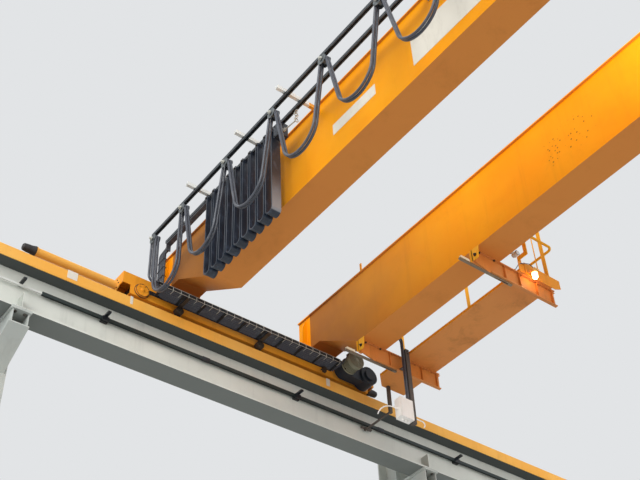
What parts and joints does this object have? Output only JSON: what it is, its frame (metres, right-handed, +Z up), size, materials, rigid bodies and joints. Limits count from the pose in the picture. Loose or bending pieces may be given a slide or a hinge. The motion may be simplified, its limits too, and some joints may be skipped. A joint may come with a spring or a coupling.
{
  "type": "overhead bridge crane",
  "caption": "Double box girder overhead bridge crane on elevated runway beams and columns, with end trucks, cable festoons, service platform and hoist crab.",
  "frame": {"origin": "on the floor, at the middle of the span between the two runways and the middle of the runways' length", "axes": "+X along the girders, away from the cable tray's end truck, +Y along the runway, +Z up"},
  "size_m": [21.16, 18.26, 11.9252],
  "materials": {
    "column_steel": "light grey paint, dusty",
    "runway_steel": "pale grey paint",
    "orange_paint": "satin orange-yellow paint",
    "yellow_paint": "satin yellow paint",
    "rail_steel": "rolled steel, polished on top",
    "wheel_steel": "machined steel, greasy",
    "galvanised": "dull galvanised steel",
    "white_paint": "white paint",
    "black_plastic": "matt black plastic",
    "black_rubber": "matt black rubber",
    "cable_black": "dark rubber sheath, slightly shiny",
    "motor_grey": "grey paint",
    "beacon_amber": "clear amber plastic, lit",
    "lamp_white": "white lamp lens",
    "box_plastic": "pale grey plastic",
    "rope_steel": "greased steel rope"
  },
  "bodies": {
    "runway": {"columns": "column_steel", "runway_beams": "runway_steel", "cap_channels": "orange_paint", "runway_rails": "rail_steel", "end_stops": "yellow_paint", "conductor_bar": "black_plastic", "conductor_hangers": "black_plastic", "runway_marks": "white_paint"},
    "bridge": {"girder_a": "orange_paint", "girder_b": "orange_paint", "trolley_rails": "rail_steel", "end_truck_left": "orange_paint", "end_truck_right": "orange_paint", "wheel_axles": "orange_paint", "buffer_tubes": "orange_paint", "buffers": "black_rubber", "drive_gearboxes": "motor_grey", "drive_motors": "motor_grey", "cable_tray": "galvanised", "tray_brackets": "orange_paint", "tray_cables": "cable_black", "festoon_arms": "white_paint", "festoon_rails": "galvanised", "festoon_carriers": "galvanised", "festoon_loops": "cable_black", "cable_bundle": "cable_black", "girder_plates": "white_paint", "cross_members": "orange_paint", "platform": "orange_paint", "handrail": "orange_paint", "beacon": "beacon_amber", "lamp": "lamp_white", "junction_box": "box_plastic", "box_mast": "galvanised", "guide_bars": "galvanised", "crab_frame": "orange_paint", "crab_wheels": "wheel_steel", "hoist_drum": "wheel_steel", "hoist_motor": "motor_grey", "hoist_ropes": "rope_steel", "hook_block": "yellow_paint"},
    "wheel_la": {"wheel_left_a": "wheel_steel"},
    "wheel_lb": {"wheel_left_b": "wheel_steel"},
    "wheel_ra": {"wheel_right_a": "wheel_steel"},
    "wheel_rb": {"wheel_right_b": "wheel_steel"}
  },
  "joints": [
    {"name": "bridge_travel", "type": "slide", "parent": "runway", "child": "bridge", "axis": [0, 1, 0], "range_m": [-5.5, 6.32]},
    {"name": "wheel_la_spin", "type": "hinge", "parent": "bridge", "child": "wheel_la", "pos_m": [-9.75, -1.57, 10.2353], "axis": [1, 0, 0], "range_deg": [-2900, 2525]},
    {"name": "wheel_lb_spin", "type": "hinge", "parent": "bridge", "child": "wheel_lb", "pos_m": [-9.75, 1.83, 10.2353], "axis": [1, 0, 0], "range_deg": [-2900, 2525]},
    {"name": "wheel_ra_spin", "type": "hinge", "parent": "bridge", "child": "wheel_ra", "pos_m": [9.75, -1.57, 10.2353], "axis": [1, 0, 0], "range_deg": [-2900, 2525]},
    {"name": "wheel_rb_spin", "type": "hinge", "parent": "bridge", "child": "wheel_rb", "pos_m": [9.75, 1.83, 10.2353], "axis": [1, 0, 0], "range_deg": [-2900, 2525]}
  ],
  "couplings": [
    {"joint": "wheel_la_spin", "follows": "bridge_travel", "rad_per_m": -8},
    {"joint": "wheel_lb_spin", "follows": "bridge_travel", "rad_per_m": -8},
    {"joint": "wheel_ra_spin", "follows": "bridge_travel", "rad_per_m": -8},
    {"joint": "wheel_rb_spin", "follows": "bridge_travel", "rad_per_m": -8}
  ]
}
